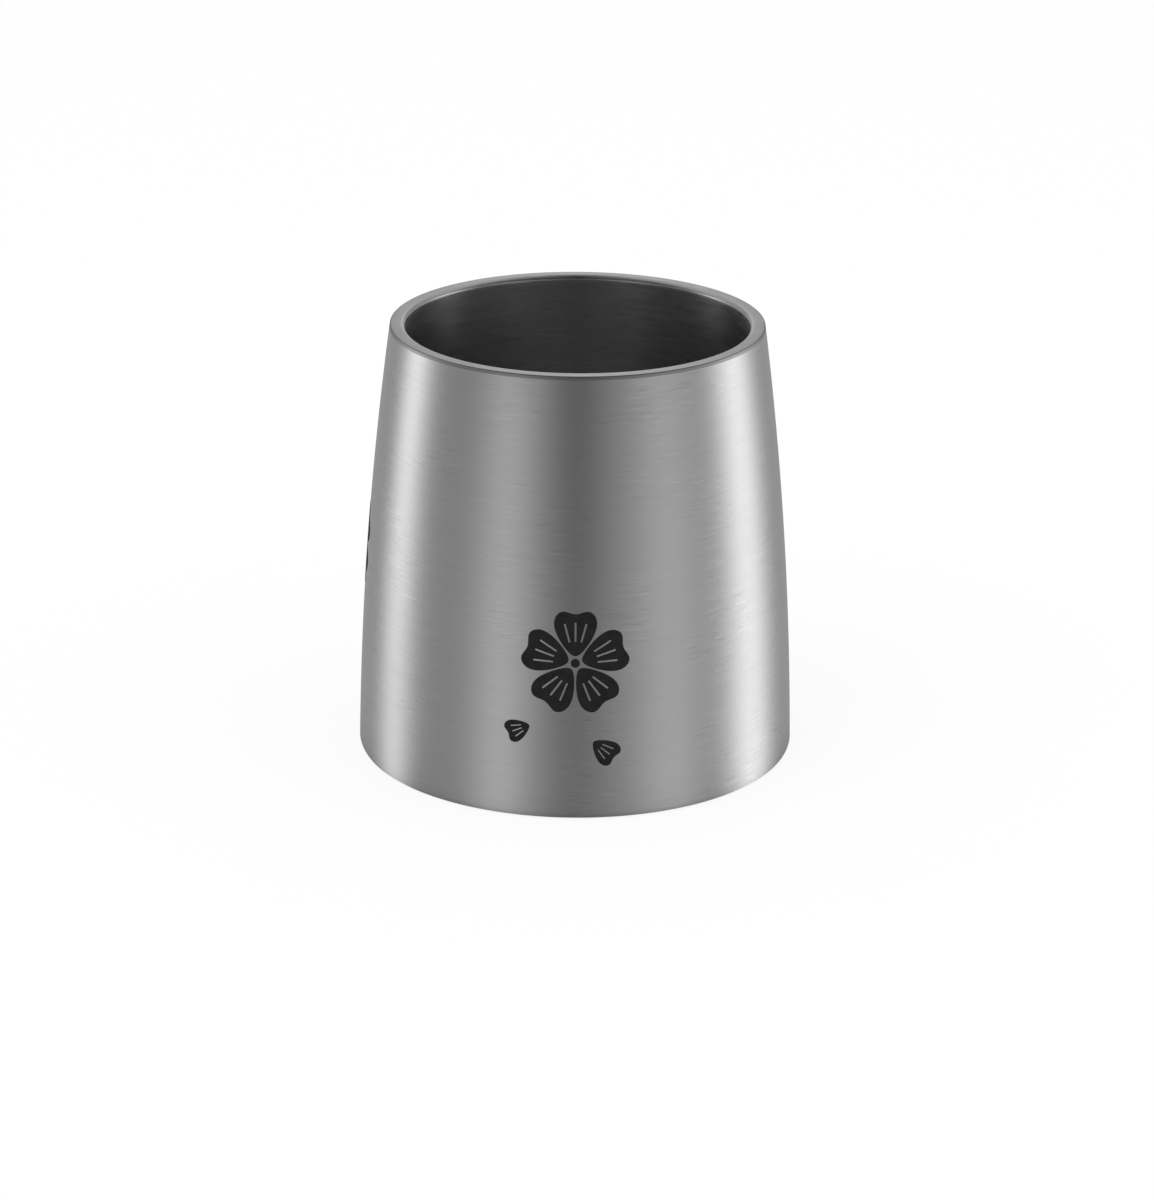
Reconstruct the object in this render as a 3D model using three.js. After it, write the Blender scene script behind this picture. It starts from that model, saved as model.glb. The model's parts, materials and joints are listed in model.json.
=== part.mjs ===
// A double-walled steel sake cup, made the way such a cup is made: a bowed outer shell with a turned-in
// foot, a drawn liner whose rolled lip is welded to the shell, and a pressed base plate that closes the
// vacuum space and carries the getter, the sealed pump-out port and the cover that hides the port.
// Millimetres, +Z up. The origin is the middle of the foot, on the surface that the cup stands on.

import * as THREE from "three";

// Outside of the cup
const HEIGHT = 62.1;
const BASE_DIAMETER = 62;
const RIM_DIAMETER = 52.3;
const WALL_BOW = 0.93; // how far the wall swells past the straight line from foot to rim

// Sheet that each pressing is made from
const SHELL_SHEET = 0.5;
const LINER_SHEET = 0.5;
const BASE_SHEET = 0.6;
const COVER_SHEET = 0.4;
const HOLDER_SHEET = 0.3;

// Lip, where the liner rolls outwards to meet the top of the shell
const LIP_WIDTH = 2.3; // from the outside of the shell to the inside of the liner
const LIP_ROUND = 0.8; // from the liner's wall to the flat top of the lip
const RIM_WELD_WIDTH = 0.15;
const RIM_WELD_ROUND = 0.12; // outer edge of the rim, where the weld was ground

// Liner
const WALL_STACK = 3.2; // shell, vacuum and liner together, down at the liner's floor
const LINER_CORNER = 6; // inside radius between the liner's wall and floor
const FLOOR_GAP = 1.2; // vacuum between the getter holder and the liner's floor

// Foot and base
const FOOT_ROUND = 1;
const FOOT_WIDTH = 2.6; // from the outside of the shell to the inner edge of the turned-in foot
const BASE_WELD_WIDTH = 0.6;
const BASE_MARGIN = 1.5; // flat edge of the base plate, beside its weld
const BEND_SHARE = 0.45; // middle radius of the base plate's bends, as a share of the step they make
const COVER_RECESS = 1; // how far the cover lies above the surface that the cup stands on
const COVER_EDGE = 2.2; // ledge of the base plate that the cover's edge lies on
const PORT_ROOM = 1.1; // how far the middle of the base plate rises above that ledge

// Pump-out port in the middle of the base plate
const PORT_RADIUS = 0.9;
const DIMPLE_RADIUS = 3.2; // inside radius of the dimple that holds the sealing glass
const DIMPLE_DEPTH = 1;
const SEAL_CROWN = 0.35; // how far the sealing glass swells out of the dimple
const SEAL_STEM = 0.4; // how far it runs up past the port

// Getter, which keeps the vacuum
const GETTER_RADIUS = 3.8;
const GETTER_THICKNESS = 1.6;
const HOLDER_FLANGE = 1.6; // flat rim that is spot-welded to the base plate
const HOLDER_LIP = 1; // how far the holder reaches over the pill
const HOLDER_BEND = 0.25;

const SEAM = 0.05; // gap between pieces that meet at a weld or a seat

// Fineness of the round shapes
const TURN_STEPS = 60;
const SMALL_TURN_STEPS = 36;
const WALL_STEPS = 8;
const BEND_STEPS = 2;
const CORNER_STEPS = 5;
const CROWN_STEPS = 4;
const ON_AXIS = 1e-6; // a point nearer to the axis than this lies on it

// Places that several pieces share
const rimWeldLow = HEIGHT - LINER_SHEET;
const rimWeldInner = RIM_DIAMETER / 2 - RIM_WELD_WIDTH;
const shellTop = rimWeldLow - SEAM;
const footInner = BASE_DIAMETER / 2 - FOOT_WIDTH;
const plateEdge = footInner - BASE_WELD_WIDTH - 2 * SEAM;
const coverTop = COVER_RECESS + COVER_SHEET;
const ledgeUnder = coverTop + SEAM;
const riserInner = plateEdge - BASE_MARGIN; // inside of the step that surrounds the cover
const middleEdge = riserInner - COVER_EDGE; // inside of the step up to the middle
const middleUnder = ledgeUnder + PORT_ROOM;
const middleTop = middleUnder + BASE_SHEET;
const ledgeBend = BEND_SHARE * (ledgeUnder - SEAM);
const middleBend = BEND_SHARE * PORT_ROOM;
const dimpleBend = BEND_SHARE * DIMPLE_DEPTH;
const dimpleTop = middleTop + DIMPLE_DEPTH;
const holderTop = middleTop + SEAM + GETTER_THICKNESS + 2 * SEAM + HOLDER_SHEET;
const floorUnder = Math.max(holderTop, dimpleTop + SEAL_STEM) + FLOOR_GAP;

// Outside radius of the cup at a height: a straight taper with an even bow.
function outside(z) {
  const share = z / HEIGHT;
  const taper = THREE.MathUtils.lerp(BASE_DIAMETER, RIM_DIAMETER, share) / 2;
  return taper + 4 * WALL_BOW * share * (1 - share);
}

// Inside radius of the liner at a height: the wall thins evenly from the floor up to the lip.
function inside(z) {
  const share = (z - floorUnder) / (HEIGHT - floorUnder);
  return outside(z) - THREE.MathUtils.lerp(WALL_STACK, LIP_WIDTH, share);
}

// Points up a wall between two heights, with its radius given by a function of the height.
function wall(radiusAt, from, to) {
  const points = [];
  for (let i = 0; i <= WALL_STEPS; i++) {
    const z = THREE.MathUtils.lerp(from, to, i / WALL_STEPS);
    points.push(new THREE.Vector2(radiusAt(z), z));
  }
  return points;
}

// A bend of the given radius at the corner, between the points before and after it.
function bend(before, corner, after, radius, steps = BEND_STEPS) {
  const back = before.clone().sub(corner).normalize();
  const ahead = after.clone().sub(corner).normalize();
  const half = Math.acos(THREE.MathUtils.clamp(back.dot(ahead), -1, 1)) / 2;
  const middle = back.clone().add(ahead).normalize();
  const centre = corner.clone().addScaledVector(middle, radius / Math.sin(half));
  const start = corner.clone().addScaledVector(back, radius / Math.tan(half)).sub(centre);
  const end = corner.clone().addScaledVector(ahead, radius / Math.tan(half)).sub(centre);
  const sweep = Math.atan2(start.cross(end), start.dot(end));
  const points = [];
  for (let i = 0; i <= steps; i++) {
    const spoke = start.clone().rotateAround(new THREE.Vector2(), (sweep * i) / steps);
    points.push(centre.clone().add(spoke));
  }
  return points;
}

// A line through corners [radius, height, bend radius], with each inner corner bent.
function bentLine(corners) {
  const places = corners.map(([radius, height]) => new THREE.Vector2(radius, height));
  return corners.flatMap(([, , round], i) =>
    round ? bend(places[i - 1], places[i], places[i + 1], round) : [places[i]],
  );
}

// The line moved sideways, to its left where the distance is positive.
function offset(line, distance) {
  const normals = line.slice(1).map((point, i) => {
    const run = point.clone().sub(line[i]).normalize();
    return new THREE.Vector2(-run.y, run.x);
  });
  return line.map((point, i) => {
    const before = normals[Math.max(i - 1, 0)];
    const after = normals[Math.min(i, normals.length - 1)];
    const mitre = before.clone().add(after).normalize();
    return point.clone().addScaledVector(mitre, distance / mitre.dot(after));
  });
}

// The closed section of a sheet whose middle follows a line.
function sheet(line, thickness) {
  return [...offset(line, thickness / 2), ...offset(line, -thickness / 2).reverse()];
}

// A closed section turned about the axis of the cup, with its faces pointing out.
function turned(section, steps = TURN_STEPS) {
  const outline = THREE.ShapeUtils.isClockWise(section) ? [...section].reverse() : [...section];
  if (outline[0].x > ON_AXIS) {
    outline.push(outline[0]);
  }
  return new THREE.LatheGeometry(outline, steps).rotateX(Math.PI / 2);
}

function steel(color, roughness) {
  return new THREE.MeshStandardMaterial({ color, roughness, metalness: 1 });
}

const brushedSteel = steel(0xb4b4b5, 0.35);
const satinSteel = steel(0xa8a8a9, 0.45);
const weldedSteel = steel(0x9a9a9b, 0.5);
const sinteredMetal = steel(0x5c5b58, 0.85);
const sealingGlass = new THREE.MeshStandardMaterial({ color: 0x35423a, roughness: 0.15, metalness: 0 });

function piece(name, section, material, steps) {
  const mesh = new THREE.Mesh(turned(section, steps), material);
  mesh.name = name;
  return mesh;
}

// Outer shell: the bowed wall, turned in at the bottom to make the foot.
function outerShell() {
  const middle = (z) => outside(z) - SHELL_SHEET / 2;
  const land = SHELL_SHEET / 2;
  const footEdge = new THREE.Vector2(footInner, land);
  const corner = new THREE.Vector2(middle(land), land);
  const side = wall(middle, 2 * FOOT_ROUND, shellTop);
  const foot = bend(footEdge, corner, side[0], FOOT_ROUND - land, CORNER_STEPS);
  return piece("outer_shell", sheet([footEdge, ...foot, ...side], SHELL_SHEET), brushedSteel);
}

// Inner liner: floor, wall and the lip that rolls outwards to the weld.
function innerLiner() {
  const half = LINER_SHEET / 2;
  const middle = (z) => inside(z) + half;
  const floor = floorUnder + half;
  const hub = new THREE.Vector2(0, floor);
  const corner = new THREE.Vector2(middle(floor), floor);
  const side = wall(middle, floor + 2 * LINER_CORNER, HEIGHT - 2 * LIP_ROUND);
  const round = bend(hub, corner, side[0], LINER_CORNER + half, CORNER_STEPS);
  const crest = HEIGHT - half;
  const lipCorner = new THREE.Vector2(middle(crest), crest);
  const lipEnd = new THREE.Vector2(rimWeldInner - SEAM, crest);
  const lip = bend(side.at(-1), lipCorner, lipEnd, LIP_ROUND - half, CORNER_STEPS);
  return piece("inner_liner", sheet([hub, ...round, ...side, ...lip, lipEnd], LINER_SHEET), brushedSteel);
}

// Rim weld: the bead that joins the edge of the lip to the top of the shell, ground round with both.
function rimWeld() {
  const outerLow = new THREE.Vector2(outside(rimWeldLow), rimWeldLow);
  const outerTop = new THREE.Vector2(outside(HEIGHT), HEIGHT);
  const innerTop = new THREE.Vector2(rimWeldInner, HEIGHT);
  const section = [
    new THREE.Vector2(rimWeldInner, rimWeldLow),
    outerLow,
    ...bend(outerLow, outerTop, innerTop, RIM_WELD_ROUND, CORNER_STEPS),
    innerTop,
  ];
  return piece("rim_weld", section, weldedSteel);
}

// Base plate: the pressing that closes the vacuum space, with a ledge for the cover and a dimpled port.
function basePlate() {
  const half = BASE_SHEET / 2;
  const edge = SEAM + half;
  const ledge = ledgeUnder + half;
  const middle = middleUnder + half;
  const dimple = middle + DIMPLE_DEPTH;
  const line = bentLine([
    [plateEdge, edge],
    [riserInner + half, edge, ledgeBend],
    [riserInner + half, ledge, ledgeBend],
    [middleEdge + half, ledge, middleBend],
    [middleEdge + half, middle, middleBend],
    [DIMPLE_RADIUS + half, middle, dimpleBend],
    [DIMPLE_RADIUS + half, dimple, dimpleBend],
    [PORT_RADIUS, dimple],
  ]);
  return piece("base_plate", sheet(line, BASE_SHEET), satinSteel);
}

// Base weld: the bead between the foot's inner edge and the base plate.
function baseWeld() {
  const outer = footInner - SEAM;
  const inner = plateEdge + SEAM;
  const top = Math.min(SHELL_SHEET, BASE_SHEET);
  const section = [
    new THREE.Vector2(inner, 2 * SEAM),
    new THREE.Vector2((inner + outer) / 2, SEAM),
    new THREE.Vector2(outer, 2 * SEAM),
    new THREE.Vector2(outer, top),
    new THREE.Vector2(inner, top),
  ];
  return piece("base_weld", section, weldedSteel);
}

// Base cover: the disc seen from below, lying against the base plate's ledge.
function baseCover() {
  const rim = riserInner - ledgeBend + BASE_SHEET / 2 - SEAM;
  const chamfer = COVER_SHEET / 2;
  const section = [
    new THREE.Vector2(0, COVER_RECESS),
    new THREE.Vector2(rim - chamfer, COVER_RECESS),
    new THREE.Vector2(rim, COVER_RECESS + chamfer),
    new THREE.Vector2(rim, coverTop),
    new THREE.Vector2(0, coverTop),
  ];
  return piece("base_cover", section, brushedSteel);
}

// Port seal: the glass that was melted into the dimple and the port under vacuum.
function portSeal() {
  const ceiling = middleUnder + DIMPLE_DEPTH - SEAM;
  const stem = PORT_RADIUS - 2 * SEAM;
  const bowl = DIMPLE_RADIUS - 2 * SEAM;
  const corner = dimpleBend - BASE_SHEET / 2 + SEAM;
  const crown = [];
  for (let i = 0; i <= CROWN_STEPS; i++) {
    const share = i / CROWN_STEPS;
    crown.push(new THREE.Vector2(bowl * share, middleUnder + DIMPLE_DEPTH / 2 - SEAL_CROWN * (1 - share ** 2)));
  }
  const section = [
    ...crown,
    new THREE.Vector2(bowl, ceiling - corner),
    new THREE.Vector2(bowl - corner, ceiling),
    new THREE.Vector2(stem, ceiling),
    new THREE.Vector2(stem, dimpleTop + SEAL_STEM),
    new THREE.Vector2(0, dimpleTop + SEAL_STEM),
  ];
  return piece("port_seal", section, sealingGlass, SMALL_TURN_STEPS);
}

// Getter: the sintered pill and the pressed holder that clips it to the base plate, beside the port.
function getter() {
  const half = HOLDER_SHEET / 2;
  const holderWall = GETTER_RADIUS + 2 * SEAM + half;
  const roof = holderTop - middleTop - half;
  const foot = SEAM + half;
  const line = bentLine([
    [holderWall + half + HOLDER_FLANGE, foot],
    [holderWall, foot, HOLDER_BEND + half],
    [holderWall, roof, half],
    [GETTER_RADIUS - HOLDER_LIP, roof],
  ]);
  const holder = piece("getter_holder", sheet(line, HOLDER_SHEET), satinSteel, SMALL_TURN_STEPS);
  const pillTop = SEAM + GETTER_THICKNESS;
  const pill = piece(
    "getter_pill",
    [
      new THREE.Vector2(0, SEAM),
      new THREE.Vector2(GETTER_RADIUS, SEAM),
      new THREE.Vector2(GETTER_RADIUS, pillTop),
      new THREE.Vector2(0, pillTop),
    ],
    sinteredMetal,
    SMALL_TURN_STEPS,
  );
  const group = new THREE.Group();
  group.position.set((DIMPLE_RADIUS + BASE_SHEET + middleEdge) / 2, 0, middleTop);
  group.add(holder, pill);
  return group;
}

const cup = new THREE.Group();
cup.add(outerShell(), innerLiner(), rimWeld(), basePlate(), baseWeld(), baseCover(), portSeal(), getter());

export default cup;
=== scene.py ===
"""Looks of a double-walled steel sake cup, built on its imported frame.

The frame gives the places of the pieces. This script gives them their smooth shapes and their finishes.
All lengths are metres, +Z is up, and the side that the photograph shows faces -Y.
"""

import json
import logging
import math
from dataclasses import dataclass, fields
from enum import Enum

import bpy
from mathutils import Matrix, Vector

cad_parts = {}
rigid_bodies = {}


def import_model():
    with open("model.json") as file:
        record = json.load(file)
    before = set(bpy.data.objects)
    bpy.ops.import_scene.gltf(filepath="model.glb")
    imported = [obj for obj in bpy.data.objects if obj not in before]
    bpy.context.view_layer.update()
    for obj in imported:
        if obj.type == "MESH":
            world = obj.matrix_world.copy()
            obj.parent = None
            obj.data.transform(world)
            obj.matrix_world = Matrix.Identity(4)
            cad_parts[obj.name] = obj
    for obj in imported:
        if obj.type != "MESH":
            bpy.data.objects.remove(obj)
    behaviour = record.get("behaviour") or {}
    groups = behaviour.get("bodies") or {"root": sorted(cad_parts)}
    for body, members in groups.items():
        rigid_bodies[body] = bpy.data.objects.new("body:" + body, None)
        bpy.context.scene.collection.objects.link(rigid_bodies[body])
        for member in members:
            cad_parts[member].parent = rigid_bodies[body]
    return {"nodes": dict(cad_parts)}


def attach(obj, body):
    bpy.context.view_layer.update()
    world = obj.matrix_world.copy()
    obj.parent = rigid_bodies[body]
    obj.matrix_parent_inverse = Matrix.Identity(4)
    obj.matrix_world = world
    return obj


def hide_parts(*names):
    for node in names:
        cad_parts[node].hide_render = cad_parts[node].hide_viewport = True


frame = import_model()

Point = tuple[float, float]
Place = tuple[float, float, float]
Color = tuple[float, float, float]
Socket = bpy.types.NodeSocket
Inputs = dict[str | int, object]

LOG = logging.getLogger("sake_cup")
BODY = "root"
# Most of a noise lies between these two values.
NOISE_RANGE: Point = (0.3, 0.7)
UNIT_RANGE: Point = (0.0, 1.0)
# share * (1 - share) times this is 1 at half height.
SWELL = 4.0


class Follows(Enum):
    """What a turned outline is measured from."""

    WALL = 1.0
    AXIS = 0.0


class Grooves(Enum):
    """Which way the brush lines of a steel piece lie."""

    ROUND_WALL = "height"
    ROUND_FACE = "radius"


@dataclass(frozen=True)
class WallRule:
    """The bowed outside of the cup: a straight taper with an even swell."""

    height: float = 0.0621
    base_radius: float = 0.030999
    rim_radius: float = 0.02615
    bow: float = 0.00093

    def radius(self, z: float) -> float:
        """Gives the outside radius at a height.

        Args:
            z: Height above the surface that the cup stands on.

        Returns:
            The radius of the outside of the shell there.
        """
        share = z / self.height
        taper = self.base_radius + (self.rim_radius - self.base_radius) * share
        return taper + SWELL * self.bow * share * (1 - share)


def named_sizes(owner: object) -> dict[str, float]:
    """Names the numbers of a dataclass as inputs of a tree, as in Rim Radius for rim_radius."""
    values = {field.name.replace("_", " ").title(): getattr(owner, field.name) for field in fields(owner)}
    return {name: value for name, value in values.items() if isinstance(value, (int, float))}


def spread(start: float, end: float, steps: int) -> list[float]:
    """Spaces values by equal steps, both ends included."""
    return [start + (end - start) * i / steps for i in range(steps + 1)]


def arc(centre: Point, radius: float, start: float, end: float, steps: int) -> list[Point]:
    """Makes the points of an arc, with its angles in degrees from the outward direction."""
    angles = [math.radians(a) for a in spread(start, end, steps)]
    return [(centre[0] + radius * math.cos(a), centre[1] + radius * math.sin(a)) for a in angles]


def put(name: str, data: bpy.types.ID) -> bpy.types.Object:
    """Makes an object of some data and puts it into the scene."""
    thing = bpy.data.objects.new(name, data)
    bpy.context.scene.collection.objects.link(thing)
    return thing


class Number:
    """A number in a node tree. Each sum or product with it adds a Math node."""

    def __init__(self, wire: "Wiring", socket: Socket) -> None:
        """Takes the socket that gives the number."""
        self.wire = wire
        self.socket = socket

    def __add__(self, other: "Number | float") -> "Number":
        """Adds another number."""
        return self.wire.math("ADD", self, other)

    def __sub__(self, other: "Number | float") -> "Number":
        """Takes another number away."""
        return self.wire.math("SUBTRACT", self, other)

    def __rsub__(self, other: float) -> "Number":
        """Takes this number away from a plain one."""
        return self.wire.math("SUBTRACT", other, self)

    def __mul__(self, other: "Number | float") -> "Number":
        """Multiplies by another number."""
        return self.wire.math("MULTIPLY", self, other)

    def __truediv__(self, other: "Number | float") -> "Number":
        """Divides by another number."""
        return self.wire.math("DIVIDE", self, other)


Spot = tuple[Number, Number, Number]


class Wiring:
    """Adds nodes to a tree and links them."""

    def __init__(self, tree: bpy.types.NodeTree) -> None:
        """Starts on a tree."""
        self.tree = tree

    def add(self, kind: str, inputs: Inputs | None = None, **settings: object) -> bpy.types.Node:
        """Adds one node.

        Args:
            kind: Blender's identifier of the node.
            inputs: Socket name or place in the list to a value, or to a number or socket to link from.
            settings: Properties of the node.

        Returns:
            The new node.
        """
        node = self.tree.nodes.new(kind)
        for name, value in settings.items():
            setattr(node, name, value)
        self.give(node, inputs or {})
        return node

    def give(self, node: bpy.types.Node, inputs: Inputs) -> None:
        """Sets or links inputs of a node, which are given as in add."""
        for name, value in inputs.items():
            self.feed(node.inputs[name], value)

    def feed(self, target: Socket, value: object) -> None:
        """Links a socket to another one, or sets its value.

        Args:
            target: The input socket.
            value: A number of the tree, an output socket or a plain value.
        """
        source = value.socket if isinstance(value, Number) else value
        if isinstance(source, Socket):
            self.tree.links.new(source, target)
        else:
            target.default_value = source

    def math(self, operation: str, *values: Number | float) -> Number:
        """Adds a Math node with inputs in order, and gives its result."""
        node = self.add("ShaderNodeMath", dict(enumerate(values)), operation=operation)
        return Number(self, node.outputs[0])

    def combine(self, x: Number | float, y: Number | float, z: Number | float) -> Socket:
        """Joins three numbers into a vector."""
        return self.add("ShaderNodeCombineXYZ", {"X": x, "Y": y, "Z": z}).outputs[0]

    def split(self, vector: Socket) -> Spot:
        """Splits a vector into its three numbers."""
        x, y, z = self.add("ShaderNodeSeparateXYZ", {"Vector": vector}).outputs
        return Number(self, x), Number(self, y), Number(self, z)

    def remap(self, value: Number, start: Point, end: Point, clamp: bool = True) -> Number:
        """Moves a number from one range to another.

        Args:
            value: The number.
            start: Both ends of the range that it comes from.
            end: What they become.
            clamp: Whether a number beyond the range stops at its end.

        Returns:
            The new number.
        """
        ends = {"From Min": start[0], "From Max": start[1], "To Min": end[0], "To Max": end[1]}
        node = self.add("ShaderNodeMapRange", {"Value": value, **ends}, clamp=clamp)
        return Number(self, node.outputs["Result"])

    def object_place(self) -> Socket:
        """Gives the Object coordinates."""
        return self.add("ShaderNodeTexCoord").outputs["Object"]

    def noise(self, place: Socket, scale: float, detail: float) -> Number:
        """Makes noise from 0 to 1."""
        node = self.add("ShaderNodeTexNoise", {"Vector": place, "Scale": scale, "Detail": detail})
        return Number(self, node.outputs["Fac"])

    def cells(self, place: Socket, size: float) -> Number:
        """Makes cells of a size, and gives the distance from their middles."""
        node = self.add("ShaderNodeTexVoronoi", {"Vector": place, "Scale": 1 / size})
        return Number(self, node.outputs["Distance"])

    def tinted(self, color: Color, tone: Number) -> Socket:
        """Multiplies a colour by a number."""
        return self.add("ShaderNodeVectorMath", {0: color, "Scale": tone}, operation="SCALE").outputs[0]

    def bump(self, height: Number, distance: float, strength: float = 1.0) -> Socket:
        """Turns a height into bumps."""
        node = self.add("ShaderNodeBump", {"Height": height, "Distance": distance, "Strength": strength})
        return node.outputs["Normal"]

    def mix(self, share: Number, first: Socket, second: Socket) -> Socket:
        """Mixes two shaders."""
        return self.add("ShaderNodeMixShader", {"Fac": share, 1: first, 2: second}).outputs[0]

    def surface(self, shader: Socket) -> None:
        """Makes a shader the surface of the material."""
        self.feed(self.tree.nodes["Material Output"].inputs["Surface"], shader)

    def index(self) -> Number:
        """Numbers the points, from 0."""
        return Number(self, self.add("GeometryNodeInputIndex").outputs[0])

    def position(self) -> Socket:
        """Gives the place of each point."""
        return self.add("GeometryNodeInputPosition").outputs[0]

    def move(self, geometry: Socket, place: Socket) -> Socket:
        """Puts the points of a geometry in new places."""
        return self.add("GeometryNodeSetPosition", {"Geometry": geometry, "Position": place}).outputs[0]

    def transform(self, geometry: Socket, **changes: object) -> Socket:
        """Moves a geometry by its Translation, Rotation and Scale."""
        return self.add("GeometryNodeTransform", {"Geometry": geometry, **changes}).outputs[0]

    def realize(self, geometry: Socket) -> Socket:
        """Turns instances into real geometry."""
        return self.add("GeometryNodeRealizeInstances", {"Geometry": geometry}).outputs[0]

    def merge(self, geometry: Socket, distance: Number) -> Socket:
        """Joins points that lie within a distance."""
        inputs = {"Geometry": geometry, "Distance": distance}
        return self.add("GeometryNodeMergeByDistance", inputs).outputs[0]

    def copies(self, points: Socket, shape: Socket, turn: Number) -> Socket:
        """Sets a shape on points, each turned in its plane by an angle."""
        inputs = {"Points": points, "Instance": shape, "Rotation": self.combine(0.0, 0.0, turn)}
        return self.add("GeometryNodeInstanceOnPoints", inputs).outputs[0]

    def circle(self, points: Number, radius: Number | float) -> Socket:
        """Draws a round curve."""
        inputs = {"Resolution": points, "Radius": radius}
        return self.add("GeometryNodeCurvePrimitiveCircle", inputs, mode="RADIUS").outputs["Curve"]

    def fill(self, curve: Socket) -> Socket:
        """Fills closed curves with triangles."""
        return self.add("GeometryNodeFillCurve", {"Curve": curve}, mode="TRIANGLES").outputs[0]

    def join(self, *parts: Socket) -> Socket:
        """Joins geometries into one."""
        node = self.add("GeometryNodeJoinGeometry")
        for part in parts:
            self.feed(node.inputs[0], part)
        return node.outputs[0]

    def bowed_radius(self, z: Number, rule: dict[str, Number]) -> Number:
        """Works out the outside radius of the wall at a height, as WallRule does.

        Args:
            z: The height.
            rule: Numbers named Height, Base Radius, Rim Radius and Bow.

        Returns:
            The radius.
        """
        share = z / rule["Height"]
        rest = 1.0 - share
        taper = rule["Base Radius"] * rest + rule["Rim Radius"] * share
        return taper + rule["Bow"] * SWELL * (share * rest)


def new_material(name: str) -> tuple[bpy.types.Material, Wiring, bpy.types.Node]:
    """Starts a material.

    Args:
        name: Its name.

    Returns:
        The material, its wiring and its Principled BSDF node.
    """
    material = bpy.data.materials.new(name)
    material.use_nodes = True
    return material, Wiring(material.node_tree), material.node_tree.nodes["Principled BSDF"]


@dataclass(frozen=True)
class Finish:
    """What the surface of a piece is like."""

    name: str
    color: Color

    def make(self) -> bpy.types.Material:
        """Builds the material."""
        material, wire, shader = new_material(self.name)
        wire.give(shader, self.looks(wire))
        return material

    def looks(self, wire: Wiring) -> Inputs:
        """Gives the inputs of the shader. Each kind of finish has its own."""
        raise NotImplementedError


@dataclass(frozen=True)
class BrushedSteel(Finish):
    """Stainless steel with brush lines that run round the cup's axis.

    The lines are fine strokes over broad ones. Nicks are short bright and dark strokes that lie in patches.
    Above the satin height the roughness falls to its satin share.
    """

    roughness: float
    anisotropy: float
    grooves: Grooves
    line: float = 0.00022
    stroke: float = 0.005
    tone: float = 0.05
    depth: float = 0.0000006
    fine_share: float = 0.6
    broad_length: float = 3.0
    broad_width: float = 5.0
    rough_play: float = 0.12
    groove_turn: float = 0.25
    satin_height: float = 1.0
    satin_blend: float = 0.0007
    satin_share: float = 1.0
    nick_tone: float = 0.0
    nick_length: float = 0.0034
    nick_width: float = 0.00028
    nick_range: Point = (0.6, 0.7)
    patch_size: float = 0.009
    patch_range: Point = (0.47, 0.6)

    def looks(self, wire: Wiring) -> Inputs:
        """Puts the strokes into the colour, roughness and bump.

        Args:
            wire: The material's wiring.

        Returns:
            The inputs of the shader.
        """
        x, y, z = wire.split(wire.object_place())
        radius = wire.math("SQRT", x * x + y * y)
        spot = (x, y, z if self.grooves is Grooves.ROUND_WALL else radius)
        fine = self._strokes(wire, spot, self.stroke, self.line)
        broad = self._strokes(wire, spot, self.stroke * self.broad_length, self.line * self.broad_width)
        both = fine * self.fine_share + broad * (1 - self.fine_share)
        tint = wire.remap(both, NOISE_RANGE, (1 - self.tone, 1 + self.tone), clamp=False)
        smoothest = self.roughness * (1 - self.rough_play)
        roughest = self.roughness * (1 + self.rough_play)
        rough = wire.remap(fine, NOISE_RANGE, (smoothest, roughest))
        blend = (self.satin_height - self.satin_blend, self.satin_height)
        return {
            "Base Color": wire.tinted(self.color, tint + self._nicks(wire, spot)),
            "Roughness": rough * wire.remap(z, blend, (1.0, self.satin_share)),
            "Normal": wire.bump(both, self.depth),
            "Tangent": wire.add("ShaderNodeTangent", direction_type="RADIAL", axis="Z").outputs[0],
            "Metallic": 1.0,
            "Anisotropic": self.anisotropy,
            "Anisotropic Rotation": self.groove_turn,
        }

    def _nicks(self, wire: Wiring, spot: Spot) -> Number:
        """Makes the nicks among the brush lines.

        Args:
            wire: The material's wiring.
            spot: The first two Object coordinates, and the coordinate that crosses the grooves.

        Returns:
            What they add to the tone.
        """
        nick = self._strokes(wire, spot, self.nick_length, self.nick_width)
        start, full = self.nick_range
        bright = wire.remap(nick, (start, full), UNIT_RANGE)
        dark = wire.remap(nick, (1 - start, 1 - full), UNIT_RANGE)
        cloud = self._strokes(wire, spot, self.patch_size, self.patch_size)
        patch = wire.remap(cloud, self.patch_range, UNIT_RANGE)
        return (bright - dark) * (patch * self.nick_tone)

    @staticmethod
    def _strokes(wire: Wiring, spot: Spot, length: float, width: float) -> Number:
        """Makes noise that is long round the axis and narrow across the grooves.

        Args:
            wire: The material's wiring.
            spot: The first two Object coordinates, and the coordinate that crosses the grooves.
            length: Length of a stroke.
            width: Width of a stroke.

        Returns:
            The noise, from 0 to 1.
        """
        x, y, across = spot
        place = wire.combine(x / length, y / length, across / width)
        return wire.noise(place, scale=1.0, detail=1.0)


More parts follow.
